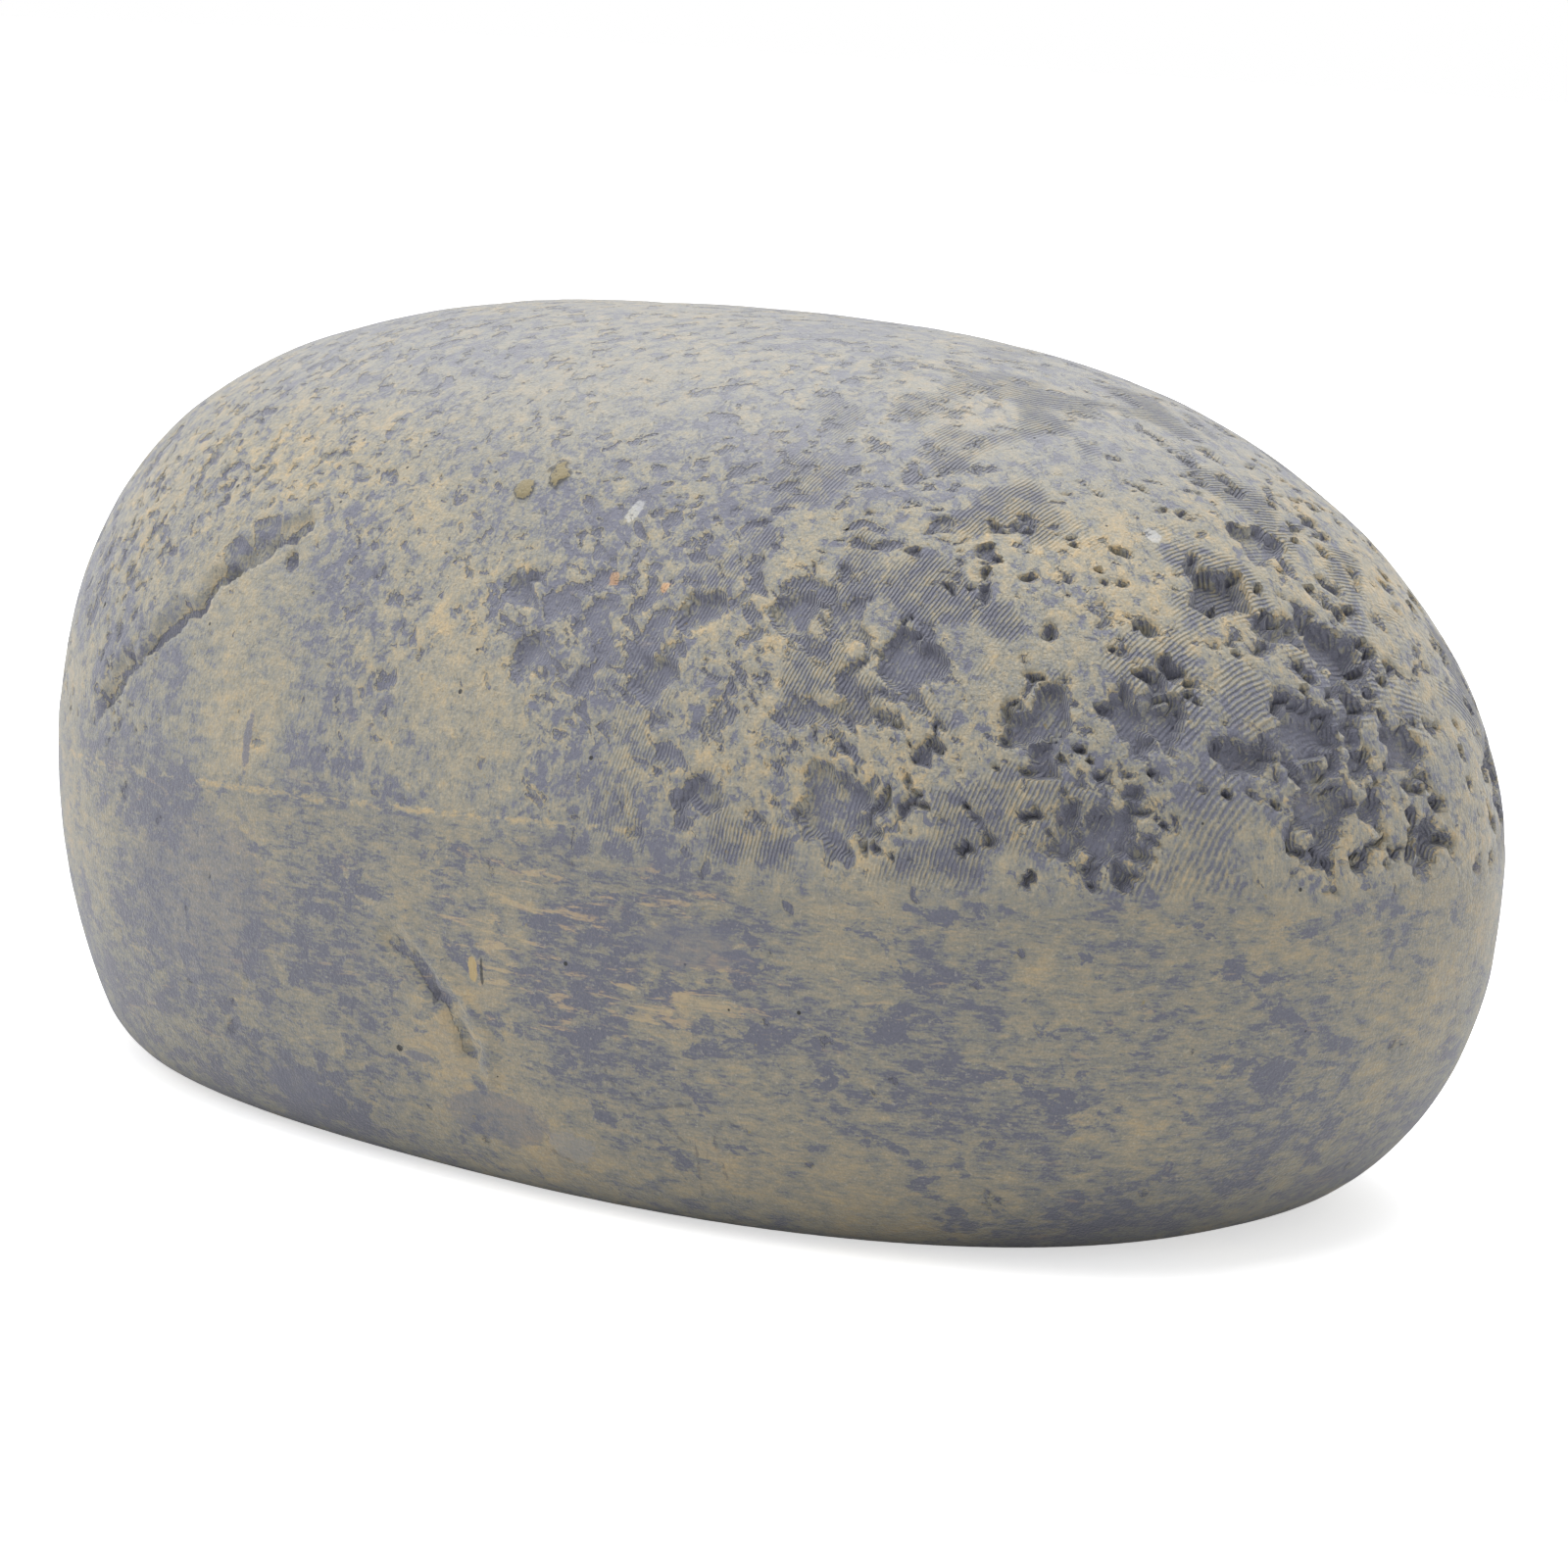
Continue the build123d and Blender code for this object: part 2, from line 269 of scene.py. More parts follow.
def far_pits():
    """The rows of pits on the far side and rear end, as height, bearing, radius and depth."""
    rows = []
    for height, first_bearing, pitch, count in far_rows:
        rows += [(height, first_bearing + pitch * i, far_pit_radius, far_pit_depth) for i in range(count)]
    return rows


def lumps(points, size, octaves, offset):
    """Fractal noise, about -1 to 1, whose lumps are about size across."""
    shift = Vector((offset, 2 * offset, -offset))
    return np.array([noise.fractal(Vector(p) / size + shift, 0.8, 2.1, octaves) for p in points])


def warped(points, size, reach, offset):
    """The points pushed about by noise, which makes rounded lumps angular."""
    shift = Vector((offset, -offset, offset))
    pushes = [noise.noise_vector(Vector(p) / size + shift) for p in points]
    return points + reach * np.array(pushes)


def from_line(points, route):
    """Each point's distance from the nearest run of a route, and which side of it the point is on."""
    best = np.full(len(points), 1e3)
    side = np.zeros(len(points))
    for start, end in zip(route, route[1:]):
        run = end - start
        share = np.clip(((points - start) @ run) / (run @ run), 0, 1)
        gap = points - (start + share[:, None] * run)
        distance = np.linalg.norm(gap, axis=1)
        closer = distance < best
        up = gap @ np.cross(run, (start + end) / 2 - (0, 0, parting_height))
        best = np.where(closer, distance, best)
        side = np.where(closer, np.sign(up), side)
    return best, side


crown_share = smooth_step(parting_height - 0.5, parting_height + 1.2, skin[:, 2])
nose_share = smooth_step(24, 44, skin[:, 0])
top_share = smooth_step(40, 47, skin[:, 2])
angular = warped(skin, 1.5, 0.6, 3.1)
drift = lumps(skin, 12.0, 2, 7.7)
calm = np.zeros(len(skin))
for height, bearing, radius, taken in patches:
    distance = np.linalg.norm(skin - skin_point(height, bearing), axis=1)
    calm += taken * (1 - smooth_step(0.5 * radius, radius, distance))
pit_line = 0.46 - 0.1 * nose_share + 0.12 * drift + calm
pit_field = lumps(angular, pit_size, 3, 0.0) - pit_line
small_field = lumps(angular * (0.7, 0.7, 1.3), small_pit_size, 2, 5.5) - 0.4 - 0.1 * drift - 0.5 * calm
small_field -= 0.2 * smooth_step(16, 40, skin[:, 0])
belly_field = lumps(angular, 1.6, 3, 12.5) - 0.8

hollow_field = np.full(len(skin), -2.0)
hollow_depth = np.zeros(len(skin))
edge_wander = lumps(angular, 1.4, 2, 9.0)
for height, bearing, radius, depth in (*near_pits, *pools, *far_pits()):
    reach = np.linalg.norm(skin - skin_point(height, bearing), axis=1) / radius
    field = 1.0 - reach - (0.65 + 0.35 * nose_share) * edge_wander
    hollow_depth = np.where(field > hollow_field, depth, hollow_depth)
    hollow_field = np.maximum(hollow_field, field)

crack_distance, crack_side = from_line(angular, route_of(crack_places))
crack_reach = np.where(crack_side > 0, 2.2 + 1.2 * edge_wander, 0.3)
crack = 1 - smooth_step(0, 1, crack_distance / np.maximum(crack_reach, 0.25))
trough_distance, trough_side = from_line(angular, route_of(trough_places))
trough = (1 - smooth_step(0.1, 1.2, trough_distance)) * np.clip(0.8 + 0.9 * edge_wander, 0.2, 1.4)
ridge = np.where(trough_side < 0, 1 - smooth_step(0.1, 0.8, abs(trough_distance - 1.5)), 0)
fissure_gap = np.full(len(skin), 9.0)
fissure_side = np.zeros(len(skin))
for places in fissures:
    gap, side = from_line(skin, route_of(places))
    fissure_side = np.where(gap < fissure_gap, side, fissure_side)
    fissure_gap = np.minimum(fissure_gap, gap)
crumb = np.zeros(len(skin))
for height, bearing, radius in crumbs:
    distance = np.linalg.norm(skin - skin_point(height, bearing), axis=1) / radius + 0.5 * edge_wander
    crumb = np.maximum(crumb, 1 - smooth_step(0.5, 1.0, distance))

pit = smooth_step(0, 0.16 + 0.2 * nose_share, pit_field) * crown_share
hollow = smooth_step(0, 0.4, hollow_field)
small_pit = smooth_step(0, 0.16, small_field) * crown_share
belly_pit = smooth_step(0, 0.12, belly_field) * (1 - crown_share)
pitting = np.maximum(pit, hollow)
above_base = smooth_step(0.2, 2.2, skin[:, 2])
sink = swell_depth * (0.5 + 0.5 * np.clip(lumps(skin, swell_size, 2, 21.0), -1, 1))
sink += ripple_depth * (0.5 + 0.5 * np.clip(lumps(skin, ripple_size, 2, 33.0), -1, 1))
sink += np.maximum(pit * (pit_depth * (1 - 0.5 * top_share) + nose_pit_extra * nose_share), hollow * hollow_depth * (1 + 0.3 * nose_share))
sink += small_pit_depth * small_pit * (1 - pitting) + small_pit_depth * belly_pit
sink += crack_depth * crack + trough_depth * trough - ridge_height * ridge + crown_step * crown_share
sink = np.maximum(sink, 0) * (1 - crumb)
sunk = skin - skin_normals * (sink * above_base)[:, None]
sunk[:, 2] = np.clip(sunk[:, 2], 0, stone_height - skin_allowance)
write_points(pebble, sunk)
edge_field = np.maximum(np.where(crown_share > 0.5, np.maximum(pit_field, small_field), belly_field), hollow_field)
edge_field = np.maximum(edge_field, np.maximum(crack - 0.6, trough - 0.5))
write_mask(pebble, "pit", edge_field)
pit_wall = smooth_step(0, 0.1, edge_field) * (1 - 0.6 * smooth_step(0.2, 0.5, edge_field))
comb_share = smooth_step(8, 30, skin[:, 0]) * crown_share
comb_patch = smooth_step(0.0, 0.35, lumps(skin, 5.0, 2, 41.0)) * comb_share
write_mask(pebble, "comb", np.clip(np.maximum(pit_wall * (0.25 + 0.75 * comb_share), comb_patch), 0, 1))
write_mask(pebble, "fissure", fissure_side * np.minimum(fissure_gap, 1))
write_mask(pebble, "near_fissure", 1 - smooth_step(0.4, 0.8, fissure_gap))
write_mask(pebble, "stepped", comb_patch)
write_mask(pebble, "crumb", crumb)
write_mask(pebble, "calm", np.clip(1.6 * calm, 0, 1))
# The top mask also carries the painted highlight haze on the top of the crown.
write_mask(pebble, "top", top_share)

# ------------------------------------------------------------------ stone casting: pocket
# The mould forms a pocket for the tray, a recess for its flange and the bezel, four pilot holes and
# a channel for the door, which runs out of the rear end.
pocket_clearance = 0.3
tray_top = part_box("key_tray")[1].z * METRE
screw_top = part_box("tray_screws")[1].z * METRE


def prism(name, x_range, half_y, z_range, nose_round, rear_round):
    """A block with its four upright edges rounded, as an object in millimetres."""
    bm = bmesh.new()
    bmesh.ops.create_cube(bm, size=1.0)
    size = (x_range[1] - x_range[0], 2 * half_y, z_range[1] - z_range[0])
    centre = (sum(x_range) / 2, 0, sum(z_range) / 2)
    bmesh.ops.scale(bm, vec=size, verts=bm.verts)
    bmesh.ops.translate(bm, vec=centre, verts=bm.verts)
    for at_nose, radius in ((True, nose_round), (False, rear_round)):
        if radius:
            upright = [e for e in bm.edges if is_upright(e) and (e.verts[0].co.x > centre[0]) == at_nose]
            bmesh.ops.bevel(bm, geom=upright, offset=radius, segments=10, profile=0.5, material=-1, affect="EDGES")
    return as_object(bm, name)


def is_upright(edge):
    """Whether an edge of a block stands upright at one of its corners."""
    run = edge.verts[0].co - edge.verts[1].co
    return abs(run.z) > 1e-4 and math.hypot(run.x, run.y) < 1e-4


def rod(name, places, radius, z_range):
    """Upright rods at the given places, as one object in millimetres."""
    bm = bmesh.new()
    for x, y in places:
        made = bmesh.ops.create_cone(
            bm, cap_ends=True, segments=32, radius1=radius, radius2=radius, depth=z_range[1] - z_range[0])
        bmesh.ops.translate(bm, vec=(x, y, sum(z_range) / 2), verts=made["verts"])
    return as_object(bm, name)


def as_object(bm, name):
    """An object in the scene with a finished bmesh as its mesh."""
    mesh = bpy.data.meshes.new(name)
    bm.to_mesh(mesh)
    bm.free()
    made = bpy.data.objects.new(name, mesh)
    bpy.context.scene.collection.objects.link(made)
    return made


def combine(target, tool, operation):
    """Joins a tool to the target or cuts it away, keeps the result in the target and drops the tool."""
    modifier = target.modifiers.new("cut", "BOOLEAN")
    modifier.operation = operation
    modifier.solver = "EXACT"
    modifier.object = tool
    view = bpy.context.evaluated_depsgraph_get()
    result = bpy.data.meshes.new_from_object(target.evaluated_get(view))
    target.modifiers.clear()
    target.data = result
    bpy.data.objects.remove(tool)


below_base = -5.0
flange_top = 4.7
rail_top = 3.2
flange_x = (-32.75, 31.55)
pocket = prism("pocket_core", (-32.3, 29.6), 14.9, (below_base, tray_top + pocket_clearance), 5.7, 5.7)
recess = prism("recess_core", flange_x, 16.85, (below_base, flange_top), 7.6, 1.7)
channel = prism("channel_core", (-70.0, 0.0), 14.8, (below_base - 1, rail_top), 0, 0)
screw_places = [(x, y) for x in (-19.0, 17.0) for y in (-17.5, 17.5)]
ears = rod("ear_core", screw_places, 3.3, (below_base - 2, flange_top - 0.01))
pilots = rod("pilot_core", screw_places, 1.25, (0.0, screw_top + 2 * pocket_clearance))
for tool in (recess, channel, ears, pilots):
    combine(pocket, tool, "UNION")

stone = bpy.data.objects.new("stone_casting_cast", pebble)
bpy.context.scene.collection.objects.link(stone)
combine(stone, pocket, "DIFFERENCE")
stone.data.transform(Matrix.Scale(1 / METRE, 4))
stone.data.polygons.foreach_set("use_smooth", [True] * len(stone.data.polygons))
stone.data.set_sharp_from_angle(angle=math.radians(55))
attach(stone, "stone")
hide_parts("stone_casting")

# ------------------------------------------------------------------ stone casting: paint
# A slate base coat covers the whole casting. Khaki is dry brushed over it: blotched on the crown,
# where it misses the pits, and dragged along the stone below the parting line. Ochre tips it.
slate = (0.127, 0.131, 0.172)
slate_deep = (0.055, 0.057, 0.078)
slate_olive = (0.178, 0.181, 0.187)
olive = (0.225, 0.220, 0.190)
khaki = (0.305, 0.272, 0.202)
ochre = (0.440, 0.335, 0.190)
# Pale grey for the painted highlight: a painted haze of bright light on the top of the crown.
painted_haze_grey = (0.350, 0.352, 0.360)
crest = (0.460, 0.430, 0.350)
clod_brown = (0.230, 0.190, 0.100)
orange = (0.560, 0.330, 0.170)
seam_height = 22.5           # millimetres, the height of the brushed line along the mould's parting
warm_place = (16.0, -74.0)   # height and bearing of the warmest part of the belly
seam_tilt = 0.06             # millimetres that it climbs for each one towards the nose
layer_pitch = 0.215          # millimetres from one printed layer to the next
layer_lean = -6.0            # degrees that the layers lean back from upright
layer_turn = 3.0             # degrees that they turn from square across
pin_black = (0.008, 0.008, 0.009)


# Single marks: place as height and bearing, half sizes in millimetres, strength and colour.
marks = (
    ((40.2, -76.2), (0.40, 2.0, 0.70), 0.45, (0.60, 0.60, 0.58)),
    ((41.1, -17.8), (0.70, 0.6, 0.60), 0.50, (0.55, 0.56, 0.58)),
    ((36.5, -76.4), (0.45, 2.0, 0.40), 0.70, orange),
    ((36.3, -71.8), (0.30, 2.0, 0.30), 0.80, orange),
    ((13.8, -83.2), (0.34, 2.0, 0.82), 0.95, (0.40, 0.30, 0.14)),
    ((13.7, -82.5), (0.12, 2.0, 0.75), 0.80, pin_black),
    ((12.0, -86.4), (0.28, 2.0, 0.90), 0.75, slate_deep),
    ((7.8, -89.2), (0.28, 2.0, 0.20), 1.00, pin_black),
    ((7.6, -88.0), (1.10, 2.0, 0.30), 0.70, slate),
    ((24.1, -100.6), (0.40, 2.0, 1.80), 0.80, slate),
    ((3.6, -98.4), (3.00, 3.0, 1.30), 0.75, slate),
    ((4.8, -82.0), (3.80, 3.0, 1.70), 0.45, slate),
    ((14.0, -106.0), (9.00, 6.0, 6.00), 0.40, slate),
    ((17.3, -66.2), (3.60, 3.0, 1.40), 0.50, slate),
    ((4.0, -75.4), (1.60, 2.0, 0.90), 0.50, (0.24, 0.24, 0.24)),
)


class Paint:
    """A material's node tree, with short calls that add a node and wire it."""

    def __init__(self, name):
        self.material = bpy.data.materials.new(name)
        self.material.use_nodes = True
        self.tree = self.material.node_tree
        self.shader = self.tree.nodes["Principled BSDF"]

    def add(self, kind, inputs=(), **settings):
        """A node of a kind with its settings, and its inputs set to values or wired from sockets."""
        made = self.tree.nodes.new(kind)
        for key, value in settings.items():
            setattr(made, key, value)
        for key, value in dict(inputs).items():
            self.feed(made.inputs[key], value)
        return made

    def feed(self, socket, value):
        """Sets a socket's value, or wires another socket to it."""
        if isinstance(value, bpy.types.NodeSocket):
            self.tree.links.new(value, socket)
        elif isinstance(value, tuple) and len(value) == 3 and socket.type == "RGBA":
            socket.default_value = (*value, 1.0)
        else:
            socket.default_value = value

    def sum(self, operation, a, b=0.0, c=0.0):
        """One Math node's result."""
        return self.add("ShaderNodeMath", {0: a, 1: b, 2: c}, operation=operation).outputs[0]

    def step(self, value, low, high):
        """0 below low, 1 above high and a smooth rise between them."""
        inputs = {"Value": value, "From Min": low, "From Max": high}
        return self.add("ShaderNodeMapRange", inputs, interpolation_type="SMOOTHSTEP").outputs["Result"]

    def mix(self, share, a, b):
        """One colour mixed with another by a share."""
        made = self.tree.nodes.new("ShaderNodeMix")
        made.data_type = "RGBA"
        self.feed(made.inputs["Factor"], share)
        self.feed(made.inputs[6], a)
        self.feed(made.inputs[7], b)
        return made.outputs[2]

    def tinted(self, colour, shade):
        """A colour multiplied by a shade."""
        made = self.add("ShaderNodeVectorMath", {0: colour}, operation="SCALE")
        self.feed(made.inputs["Scale"], shade)
        return made.outputs[0]

    def place(self, scale, turn=(0.0, 0.0, 0.0)):
        """The piece's own coordinates, in metres, turned and scaled."""
        own = self.add("ShaderNodeTexCoord").outputs["Object"]
        inputs = {"Vector": own, "Scale": scale, "Rotation": turn}
        return self.add("ShaderNodeMapping", inputs).outputs["Vector"]

    def noise(self, where, scale, detail=3.0, distortion=0.0, roughness=0.55):
        """Fractal noise, about 0.3 to 0.7, with lumps about 1 / scale across."""
        inputs = {"Vector": where, "Scale": scale, "Detail": detail, "Distortion": distortion,
                  "Roughness": roughness}
        return self.add("ShaderNodeTexNoise", inputs).outputs[0]

    def spot(self, where, centre, half_sizes, ragged):
        """1 inside a ragged blot of the given half sizes about a point, and 0 outside it."""
        away = self.add("ShaderNodeVectorMath", {0: where, 1: tuple(centre)}, operation="SUBTRACT").outputs[0]
        scaled = self.add("ShaderNodeVectorMath", {0: away, 1: half_sizes}, operation="DIVIDE").outputs[0]
        far = self.add("ShaderNodeVectorMath", {0: scaled}, operation="LENGTH").outputs["Value"]
        return self.step(self.sum("MULTIPLY_ADD", ragged, 2.4, far), 2.3, 2.05)

    def mask(self, name):
        """A mask that was stored on the mesh."""
        return self.add("ShaderNodeAttribute", attribute_name=name).outputs["Fac"]


def stone_paint():
    """Slate base coat, dry-brushed khaki and ochre, combed pit walls, pin holes, marks and a painted highlight
    haze on the top.
    """
    paint = Paint("painted_resin")
    here = paint.place((METRE, METRE, METRE))
    dragged = paint.place((METRE * 0.2, METRE * 0.2, METRE))
    smeared = paint.place((METRE * 0.4, METRE * 0.4, METRE))
    wiped = paint.place((METRE * 0.6, METRE * 0.6, METRE))
    stroked = paint.place((METRE, METRE, METRE * 0.35))
    height = paint.add("ShaderNodeSeparateXYZ", {0: here}).outputs[2]
    wander = paint.sum("MULTIPLY_ADD", paint.noise(here, 0.12, 2.0), 6.0, -3.0)
    belly = paint.step(paint.sum("ADD", height, wander), parting_height + 2.0, parting_height - 2.0)
    crown = paint.sum("SUBTRACT", 1.0, belly)
    patch = paint.noise(here, 0.09, 2.0)
    blotch = paint.noise(here, 0.85, 5.0, 0.3, 0.68)
    chip = paint.step(paint.noise(here, 1.15, 4.0, 0.7, 0.6), 0.57, 0.585)
    speck = paint.noise(here, 4.5, 2.0, 0.0, 0.6)
    streak = paint.noise(smeared, 1.5, 5.0, 0.3, 0.72)
    rough = paint.noise(here, 1.6, 3.0, 0.0, 0.65)
    mottle = paint.sum("MULTIPLY", paint.sum("ADD", rough, streak), 0.5)
    bare = paint.step(paint.noise(wiped, 0.5, 5.0, 0.4, 0.66), 0.56, 0.585)
    brush = paint.noise(dragged, 7.0, 2.0, 0.0, 0.6)
    stroke = paint.noise(stroked, 6.0, 1.0, 0.0, 0.6)

    ragged = paint.sum("MULTIPLY_ADD", speck, 0.5, paint.sum("SUBTRACT", paint.mask("pit"), 0.25))
    pit = paint.step(ragged, 0.0, 0.07)
    lip = paint.sum("MULTIPLY", paint.step(ragged, -0.16, -0.02), paint.sum("SUBTRACT", 1.0, pit))

    steps = paint.place((METRE, METRE, METRE), (0.0, math.radians(layer_lean), math.radians(layer_turn)))
    steps_along = paint.add("ShaderNodeSeparateXYZ", {0: steps}).outputs[0]
    steps_bent = paint.sum("MULTIPLY_ADD", paint.noise(here, 0.8, 1.0), 0.2, steps_along)
    comb_wave = paint.sum("SINE", paint.sum("MULTIPLY", steps_bent, 2 * math.pi / layer_pitch))
    comb = paint.sum("MULTIPLY", comb_wave, paint.mask("comb"))

    crown_cover = paint.sum("MULTIPLY_ADD", blotch, 1.5, paint.sum("MULTIPLY_ADD", patch, 0.8, -0.62))
    crown_cover = paint.sum("MULTIPLY_ADD", stroke, 0.45, paint.sum("SUBTRACT", crown_cover, 0.23))
    busy = paint.sum("SUBTRACT", 1.0, paint.mask("calm"))
    crown_cover = paint.sum("MULTIPLY_ADD", paint.sum("MULTIPLY", chip, busy), -0.2, crown_cover)
    crown_cover = paint.sum("MULTIPLY_ADD", busy, -0.06, paint.sum("ADD", crown_cover, 0.06))
    wiped_off = paint.sum("MULTIPLY", paint.sum("SUBTRACT", streak, blotch), paint.mask("calm"))
    crown_cover = paint.sum("MULTIPLY_ADD", wiped_off, 1.1, crown_cover)
    crown_cover = paint.sum("MULTIPLY_ADD", pit, -0.2, crown_cover)
    crown_cover = paint.sum("MULTIPLY_ADD", paint.mask("stepped"), -0.1, crown_cover)
    crown_cover = paint.sum("MULTIPLY_ADD", lip, 0.14, crown_cover)
    belly_cover = paint.sum("MULTIPLY_ADD", streak, 1.3, paint.sum("MULTIPLY_ADD", patch, 1.0, -0.64))
    belly_cover = paint.sum("MULTIPLY_ADD", brush, 0.5, paint.sum("SUBTRACT", belly_cover, 0.25))
    belly_cover = paint.sum("MULTIPLY_ADD", bare, -0.2, belly_cover)
    belly_cover = paint.sum("MULTIPLY_ADD", pit, -0.2, belly_cover)
    crown_part = paint.sum("MULTIPLY", crown_cover, crown)
    cover = paint.sum("MULTIPLY_ADD", belly_cover, belly, crown_part)
    cover = paint.sum("MULTIPLY_ADD", comb, 0.12, cover)
    along = paint.add("ShaderNodeSeparateXYZ", {0: here}).outputs[0]
    seam_line = paint.sum("MULTIPLY_ADD", along, -seam_tilt, paint.sum("MULTIPLY_ADD", rough, 0.8, height))
    seam_gap = paint.sum("ABSOLUTE", paint.sum("SUBTRACT", seam_line, seam_height))
    seam = paint.sum("MULTIPLY", paint.step(seam_gap, 0.28, 0.08), paint.step(streak, 0.44, 0.58))
    seam = paint.sum("MULTIPLY", seam, paint.step(along, 32.0, 10.0))
    cover = paint.sum("MULTIPLY_ADD", seam, 0.3, cover)

    ramp = paint.add("ShaderNodeValToRGB", {"Fac": cover})
    stops = ((0.37, slate), (0.41, slate_olive), (0.50, olive), (0.66, khaki), (0.95, ochre))
    while len(ramp.color_ramp.elements) < len(stops):
        ramp.color_ramp.elements.new(0.5)
    for element, (position, colour) in zip(ramp.color_ramp.elements, stops):
        element.position = position
        element.color = (*colour, 1.0)
    shade = paint.sum("MULTIPLY_ADD", paint.noise(here, 8.0, 1.0), 0.5, 0.78)
    shade = paint.sum("MULTIPLY_ADD", belly, -0.15, shade)
    colour = paint.tinted(ramp.outputs["Color"], shade)
    warm = paint.spot(here, skin_point(*warm_place), (11.0, 6.0, 4.5), streak)
    tip = paint.sum("MULTIPLY_ADD", warm, 0.07, paint.noise(dragged, 1.3, 4.0, 0.6, 0.7))
    ochre_tip = paint.step(tip, 0.60, 0.70)
    ochre_share = paint.sum("MULTIPLY_ADD", warm, 0.25, paint.sum("MULTIPLY_ADD", belly, 0.3, 0.12))
    colour = paint.mix(paint.sum("MULTIPLY", ochre_tip, ochre_share), colour, ochre)
    fleck = paint.sum("MULTIPLY", paint.step(speck, 0.62, 0.70), 0.3)
    colour = paint.mix(fleck, colour, crest)
    across = paint.sum("ABSOLUTE", paint.mask("fissure"))
    thin = paint.sum("MULTIPLY_ADD", speck, 0.25, paint.sum("SUBTRACT", across, 0.12))
    crevice = paint.sum("MULTIPLY", paint.step(thin, 0.17, 0.05), paint.mask("near_fissure"))
    crevice = paint.sum("MULTIPLY", crevice, paint.step(rough, 0.42, 0.56))
    colour = paint.mix(paint.sum("MULTIPLY", crevice, 0.5), colour, slate_deep)
    # Painted highlight: the top of the crown is mixed towards pale grey, a painted haze of bright light.
    painted_top_haze = paint.sum("MULTIPLY", paint.mask("top"), 0.35)
    colour = paint.mix(painted_top_haze, colour, painted_haze_grey)

    pin = paint.add("ShaderNodeTexVoronoi", {"Vector": here, "Scale": 0.30})
    pin_chance = paint.add("ShaderNodeSeparateColor", {0: pin.outputs["Color"]})
    pin_size = paint.sum("MULTIPLY_ADD", pin_chance.outputs[1], 0.03, 0.015)
    pin_dot = paint.step(paint.sum("SUBTRACT", pin.outputs["Distance"], pin_size), 0.012, 0.0)
    pin_hole = paint.sum("MULTIPLY", pin_dot, paint.sum("GREATER_THAN", pin_chance.outputs[0], 0.5))
    colour = paint.mix(pin_hole, colour, pin_black)
    for place, radii, strength, mark_colour in marks:
        mark = paint.sum("MULTIPLY", paint.spot(here, skin_point(*place), radii, mottle), strength)
        colour = paint.mix(mark, colour, mark_colour)
    clod = paint.step(paint.sum("MULTIPLY_ADD", rough, 2.4, paint.mask("crumb")), 1.65, 1.8)
    clod_rim = paint.sum("MULTIPLY", paint.step(paint.mask("crumb"), 0.1, 0.4), 0.75)
    colour = paint.mix(clod_rim, colour, pin_black)
    colour = paint.mix(clod, colour, clod_brown)
    paint.feed(paint.shader.inputs["Base Color"], colour)
    paint.feed(paint.shader.inputs["Roughness"], paint.sum("MULTIPLY_ADD", speck, 0.3, 0.45))
    paint.shader.inputs["Sheen Weight"].default_value = 0.3
    paint.shader.inputs["Sheen Roughness"].default_value = 0.45

    relief = paint.sum("MULTIPLY_ADD", comb, 0.45, paint.sum("MULTIPLY", blotch, 0.9))
    relief = paint.sum("MULTIPLY_ADD", paint.sum("MULTIPLY", chip, crown), -0.4, relief)
    relief = paint.sum("MULTIPLY_ADD", pit, -0.9, relief)
    relief = paint.sum("MULTIPLY_ADD", speck, 0.7, relief)
    relief = paint.sum("MULTIPLY_ADD", brush, 0.3, relief)
    bump = paint.add("ShaderNodeBump", {"Height": relief, "Strength": 1.0, "Distance": 0.00012})
    paint.feed(paint.shader.inputs["Normal"], bump.outputs[0])
    return paint.material


stone.data.materials.clear()
stone.data.materials.append(stone_paint())

# ------------------------------------------------------------------ key tray, bezel and door
# Three black mouldings: the tray that holds the key, the bezel whose rails and lips guide the door,
# and the door with its grip bars. The steel tool leaves a fine spark grain on all of them.
tray_black = (0.016, 0.016, 0.017)
bezel_black = (0.020, 0.020, 0.021)
door_black = (0.024, 0.024, 0.026)


def spark_grain():
    """The group that gives moulded plastic its grain: a roughness and a height for the bump."""
    group = bpy.data.node_groups.new("spark_grain", "ShaderNodeTree")
    for name, direction in (("Size", "INPUT"), ("Roughness", "OUTPUT"), ("Height", "OUTPUT")):
        group.interface.new_socket(name, in_out=direction, socket_type="NodeSocketFloat")
    start = group.nodes.new("NodeGroupInput")
    end = group.nodes.new("NodeGroupOutput")
    own = group.nodes.new("ShaderNodeTexCoord")
    grain = group.nodes.new("ShaderNodeTexNoise")
    grain.inputs["Detail"].default_value = 3.0
    spread = group.nodes.new("ShaderNodeMapRange")
    spread.inputs["To Min"].default_value = 0.42
    spread.inputs["To Max"].default_value = 0.66
    group.links.new(own.outputs["Object"], grain.inputs["Vector"])
    group.links.new(start.outputs["Size"], grain.inputs["Scale"])
    group.links.new(grain.outputs[0], spread.inputs["Value"])
    group.links.new(spread.outputs["Result"], end.inputs["Roughness"])
    group.links.new(grain.outputs[0], end.inputs["Height"])
    return group


grain_group = spark_grain()


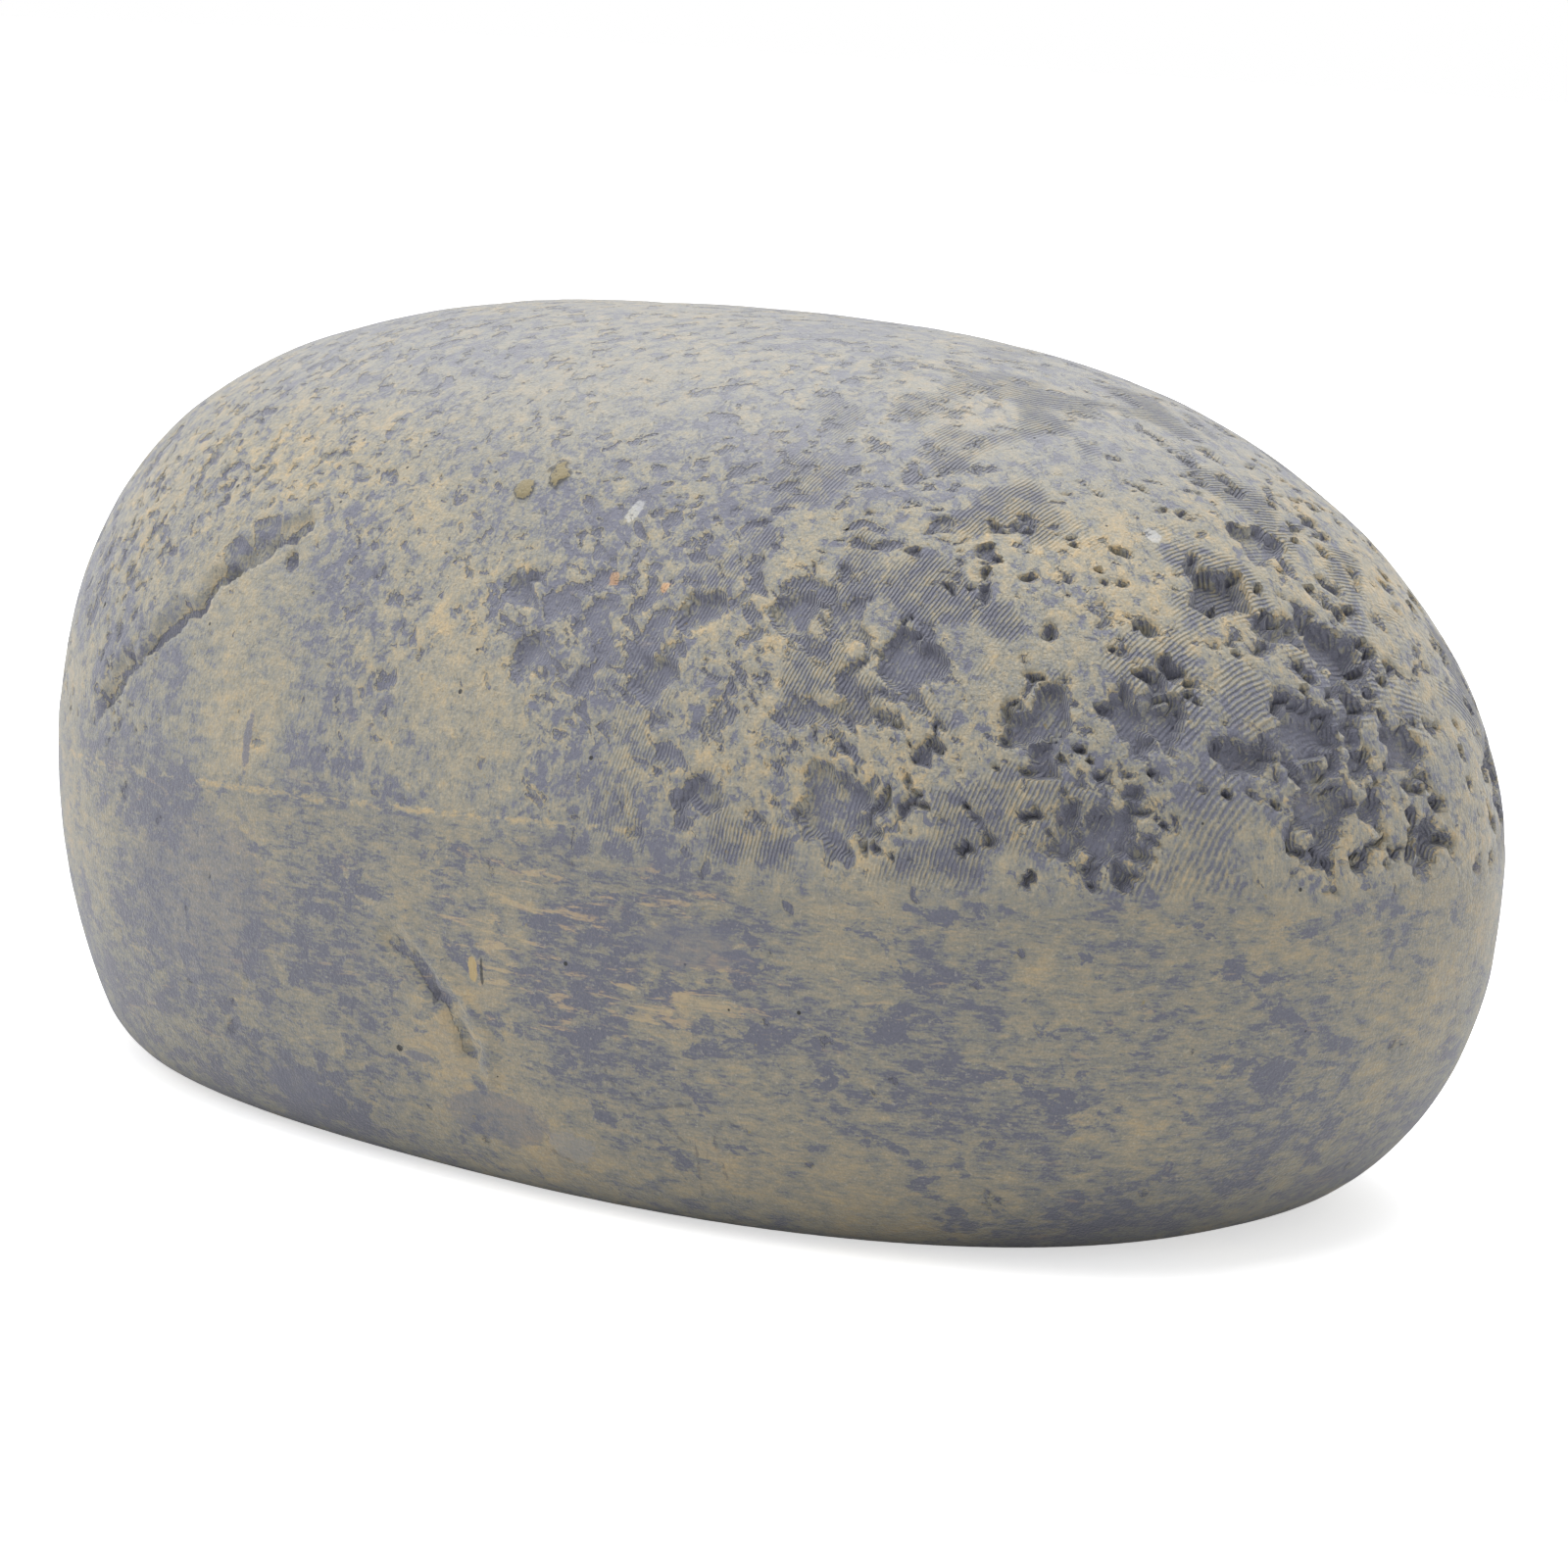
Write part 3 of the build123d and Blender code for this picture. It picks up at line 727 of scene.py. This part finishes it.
def moulded(name, colour, grain_per_metre, dust):
    """Black moulded plastic with spark grain and a trace of pale dust."""
    paint = Paint(name)
    grain = paint.add("ShaderNodeGroup", node_tree=grain_group)
    grain.inputs["Size"].default_value = grain_per_metre
    where = paint.place((METRE, METRE, METRE))
    dusty = paint.step(paint.noise(where, 0.35, 5.0, 0.5), 0.5, 0.75)
    pale = tuple(channel + dust for channel in colour)
    paint.feed(paint.shader.inputs["Base Color"], paint.mix(dusty, colour, pale))
    paint.feed(paint.shader.inputs["Roughness"], grain.outputs["Roughness"])
    bump = paint.add("ShaderNodeBump", {"Height": grain.outputs["Height"], "Strength": 0.35, "Distance": 0.00005})
    paint.feed(paint.shader.inputs["Normal"], bump.outputs[0])
    return paint.material


def finish_node(name, material):
    """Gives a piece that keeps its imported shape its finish."""
    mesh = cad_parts[name].data
    mesh.materials.clear()
    mesh.materials.append(material)


finish_node("key_tray", moulded("tray_plastic", tray_black, 5200.0, 0.02))
finish_node("door_bezel", moulded("bezel_plastic", bezel_black, 4600.0, 0.015))
finish_node("sliding_door", moulded("door_plastic", door_black, 4200.0, 0.02))

# ------------------------------------------------------------------ tray screws
# Four zinc-plated self-tapping screws with cross recesses, driven up through the bezel's ears and
# the tray's flange into the resin.
zinc = (0.62, 0.62, 0.60)
zinc_dull = (0.34, 0.34, 0.33)


def zinc_plate():
    """Bright zinc plate that has begun to dull."""
    paint = Paint("zinc_plate")
    where = paint.place((METRE, METRE, METRE))
    dull = paint.step(paint.noise(where, 1.8, 4.0), 0.42, 0.65)
    paint.feed(paint.shader.inputs["Base Color"], paint.mix(dull, zinc, zinc_dull))
    paint.feed(paint.shader.inputs["Roughness"], paint.sum("MULTIPLY_ADD", dull, 0.3, 0.3))
    paint.shader.inputs["Metallic"].default_value = 1.0
    bump = paint.add("ShaderNodeBump", {"Height": paint.noise(where, 9.0), "Strength": 0.2, "Distance": 0.00003})
    paint.feed(paint.shader.inputs["Normal"], bump.outputs[0])
    return paint.material


finish_node("tray_screws", zinc_plate())

# ------------------------------------------------------------------ studio
# A pale floor, a white surround and soft lamps overhead, in front and behind.
floor_half = 4.0
floor_colour = (0.86, 0.86, 0.86)


def studio_floor():
    """A wide pale floor that reads white to the camera and keeps the stone's shadow."""
    bm = bmesh.new()
    bmesh.ops.create_grid(bm, x_segments=1, y_segments=1, size=floor_half)
    made = as_object(bm, "studio_floor")
    paint = Paint("pale_floor")
    paint.shader.inputs["Base Color"].default_value = (*floor_colour, 1.0)
    paint.shader.inputs["Roughness"].default_value = 0.9
    seen = paint.add("ShaderNodeLightPath").outputs["Is Camera Ray"]
    glow = paint.add("ShaderNodeEmission", {"Color": (1.0, 1.0, 1.0), "Strength": 0.62}).outputs[0]
    both = paint.add("ShaderNodeAddShader", {0: paint.shader.outputs[0], 1: glow}).outputs[0]
    chosen = paint.add("ShaderNodeMixShader", {0: seen, 1: paint.shader.outputs[0], 2: both}).outputs[0]
    paint.feed(paint.tree.nodes["Material Output"].inputs["Surface"], chosen)
    made.data.materials.append(paint.material)
    return made


def soft_lamp(name, place, aim, size, power):
    """A square soft lamp that points at aim."""
    light = bpy.data.lights.new(name, "AREA")
    light.size = size
    light.energy = power
    lamp = bpy.data.objects.new(name, light)
    lamp.location = place
    lamp.rotation_euler = (Vector(aim) - Vector(place)).to_track_quat("-Z", "Y").to_euler()
    bpy.context.scene.collection.objects.link(lamp)


def surround():
    """The white surround: plain light on the stone, pure white to the camera and in reflections."""
    world = bpy.data.worlds.new("surround")
    bpy.context.scene.world = world
    world.use_nodes = True
    nodes, links = world.node_tree.nodes, world.node_tree.links
    path = nodes.new("ShaderNodeLightPath")
    lit = nodes.new("ShaderNodeBackground")
    lit.inputs["Color"].default_value = (1.0, 1.0, 1.0, 1.0)
    lit.inputs["Strength"].default_value = 0.5
    seen = nodes.new("ShaderNodeBackground")
    seen.inputs["Color"].default_value = (1.0, 1.0, 1.0, 1.0)
    seen.inputs["Strength"].default_value = 1.0
    mix = nodes.new("ShaderNodeMixShader")
    either = nodes.new("ShaderNodeMath")
    either.operation = "MAXIMUM"
    links.new(path.outputs["Is Camera Ray"], either.inputs[0])
    links.new(path.outputs["Is Glossy Ray"], either.inputs[1])
    links.new(either.outputs[0], mix.inputs[0])
    links.new(lit.outputs[0], mix.inputs[1])
    links.new(seen.outputs[0], mix.inputs[2])
    links.new(mix.outputs[0], nodes["World Output"].inputs["Surface"])


studio_floor()
surround()
soft_lamp("overhead", (-0.02, 0.0, 0.9), (0, 0, 0.02), 0.9, 9.0)
soft_lamp("front_left", (-0.5, -0.6, 0.65), (0, 0, 0.02), 0.5, 2.4)
soft_lamp("behind", (0.1, 0.8, 0.6), (0, 0, 0.03), 0.6, 0.7)

# ------------------------------------------------------------------ camera
# Low, from the nose's right, a little out of level, as the photograph was taken.
view_bearing = math.radians(42.26)
view_rise = math.radians(8.38)
view_roll = math.radians(3.03)
view_distance = 0.3351
aim_right, aim_up = 0.00199, -0.0042
sensor = 36.0
lens = 124.2


def point_camera():
    """The camera, placed by bearing, rise and roll about the middle of the stone."""
    back = Vector((math.sin(view_bearing) * math.cos(view_rise),
                   -math.cos(view_bearing) * math.cos(view_rise), math.sin(view_rise)))
    level = Vector((math.cos(view_bearing), math.sin(view_bearing), 0))
    upright = back.cross(level)
    right = level * math.cos(view_roll) + upright * math.sin(view_roll)
    up = upright * math.cos(view_roll) - level * math.sin(view_roll)
    aim = Vector((0, 0, stone_height / METRE / 2)) + right * aim_right + up * aim_up
    camera = bpy.data.objects.new("camera", bpy.data.cameras.new("camera"))
    camera.data.sensor_width = sensor
    camera.data.lens = lens
    place = aim + back * view_distance
    camera.matrix_world = Matrix.Translation(place) @ Matrix((right, up, back)).transposed().to_4x4()
    bpy.context.scene.collection.objects.link(camera)
    bpy.context.scene.camera = camera


point_camera()
bpy.context.scene.view_settings.view_transform = "Standard"
